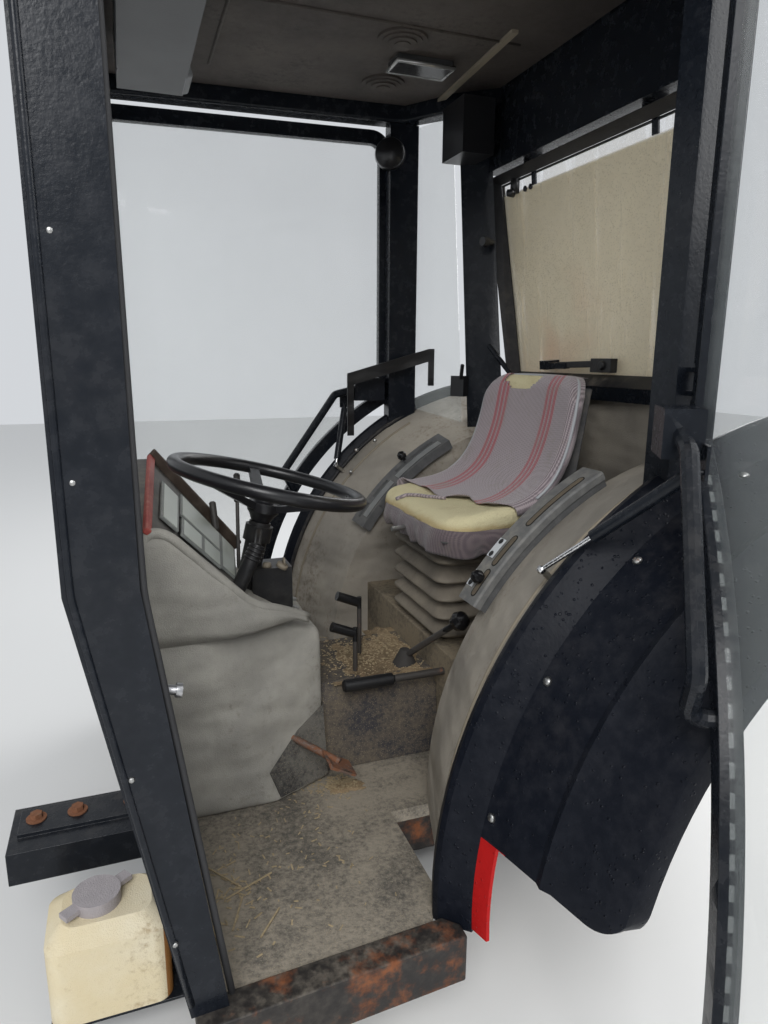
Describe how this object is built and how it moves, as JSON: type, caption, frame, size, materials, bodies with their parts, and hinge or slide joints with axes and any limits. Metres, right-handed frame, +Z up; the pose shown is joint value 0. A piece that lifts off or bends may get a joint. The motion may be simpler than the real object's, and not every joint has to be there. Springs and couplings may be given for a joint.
{
  "type": "farm tractor cab",
  "caption": "Glazed farm tractor cab with open rear-hinged left door, rear fenders, cloth bucket seat, dished steering wheel, side consoles and levers on a four-bolt rubber-mounted floor",
  "frame": {"origin": "centre of the four cab bolts, on the lower faces of the rubber mounts", "axes": "+X the way the tractor drives, +Y its left side, +Z up"},
  "size_m": [2.0659, 2.5176, 2.075],
  "materials": {
    "black_paint": "satin",
    "rubber": "matte",
    "vinyl": "dusty vinyl",
    "roof_plastic": "matte",
    "headliner_cloth": "matte",
    "lamp": "gloss",
    "glass": "clear",
    "moulded_black": "satin",
    "moulded_grey": "dusty",
    "seat_cloth": "woven",
    "seat_steel": "matte",
    "worn_steel": "worn",
    "bright_steel": "polished",
    "bottle_plastic": "aged"
  },
  "bodies": {
    "root": {"subframe": "black_paint", "cab_mounts": "rubber", "floor_pan": "rubber", "sills": "black_paint", "tunnel": "vinyl", "seat_deck": "vinyl", "wheel_houses": "vinyl", "fenders": "black_paint", "a_posts": "black_paint", "b_posts": "black_paint", "roof_frame": "black_paint", "rear_frame": "black_paint", "rear_wall": "vinyl", "roof_shell": "roof_plastic", "headliner": "headliner_cloth", "cab_lamp": "lamp", "roof_boxes": "roof_plastic", "windscreen": "glass", "quarter_glass": "glass", "front_wall": "black_paint", "dash_cowl": "vinyl", "instrument_panel": "moulded_black", "steering_column": "moulded_black", "seat_cushion": "seat_cloth", "seat_shell": "seat_steel", "seat_suspension": "rubber", "consoles": "moulded_grey", "hand_levers": "moulded_black", "pedals": "worn_steel", "washer_bottle": "bottle_plastic"},
    "left_door": {"left_door_frame": "black_paint", "left_door_glass": "glass", "left_door_rail": "black_paint"},
    "left_strut_barrel": {"left_strut_tube": "black_paint"},
    "left_strut_bar": {"left_strut_rod": "bright_steel"},
    "right_door": {"right_door_frame": "black_paint", "right_door_glass": "glass", "right_door_rail": "black_paint"},
    "right_strut_barrel": {"right_strut_tube": "black_paint"},
    "right_strut_bar": {"right_strut_rod": "bright_steel"},
    "rear_window": {"rear_window": "glass", "rear_window_fittings": "black_paint"},
    "rear_strut_barrel": {"rear_strut_tube": "black_paint"},
    "rear_strut_bar": {"rear_strut_rod": "bright_steel"},
    "steering_wheel": {"steering_wheel": "moulded_black"}
  },
  "joints": [
    {"name": "left_door", "type": "hinge", "parent": "root", "child": "left_door", "pos_m": [-0.335, 0.72105, 1], "axis": [0, 0, 1], "range_deg": [-54, 0]},
    {"name": "left_strut_swing", "type": "hinge", "parent": "left_door", "child": "left_strut_barrel", "pos_m": [-0.21356, 0.85106, 1.006], "axis": [0.1876, 0.3617, 0.9132], "range_deg": [0, 70.22]},
    {"name": "left_strut_slide", "type": "slide", "parent": "left_strut_barrel", "child": "left_strut_bar", "axis": [0.3441, -0.6876, -0.6394], "range_m": [-0.10383, 0]},
    {"name": "right_door", "type": "hinge", "parent": "root", "child": "right_door", "pos_m": [-0.335, -0.72105, 1], "axis": [0, 0, 1], "range_deg": [-54, 0]},
    {"name": "right_strut_swing", "type": "hinge", "parent": "right_door", "child": "right_strut_barrel", "pos_m": [-0.15844, -0.69922, 1.006], "axis": [0.4097, -0.0486, 0.9109], "range_deg": [0, 75.73]},
    {"name": "right_strut_slide", "type": "slide", "parent": "right_strut_barrel", "child": "right_strut_bar", "axis": [0.2428, 0.2924, -0.925], "range_m": [0, 0.08921]},
    {"name": "rear_window", "type": "hinge", "parent": "root", "child": "rear_window", "pos_m": [-0.592, 0, 1.7], "axis": [0, 1, 0], "range_deg": [0, 50]},
    {"name": "rear_strut_swing", "type": "hinge", "parent": "root", "child": "rear_strut_barrel", "pos_m": [-0.547, 0.378, 1.6], "axis": [-0.0114, 0.9997, -0.021], "range_deg": [0, 57.34]},
    {"name": "rear_strut_slide", "type": "slide", "parent": "rear_strut_barrel", "child": "rear_strut_bar", "axis": [-0.2549, -0.0232, -0.9667], "range_m": [0, 0.08655]},
    {"name": "steering", "type": "hinge", "parent": "root", "child": "steering_wheel", "pos_m": [0.245, 0, 0.876], "axis": [-0.2419, 0, 0.9703], "range_deg": [-540, 540]}
  ],
  "couplings": [
    {"joint": "left_strut_swing", "follows": "left_door", "ratio": -1.2875},
    {"joint": "left_strut_slide", "follows": "left_door", "m_per_rad": 0.10908},
    {"joint": "right_strut_swing", "follows": "right_door", "ratio": -1.3885},
    {"joint": "right_strut_slide", "follows": "right_door", "m_per_rad": -0.093723},
    {"joint": "rear_strut_swing", "follows": "rear_window", "ratio": 1.1355},
    {"joint": "rear_strut_slide", "follows": "rear_window", "m_per_rad": 0.098203}
  ]
}
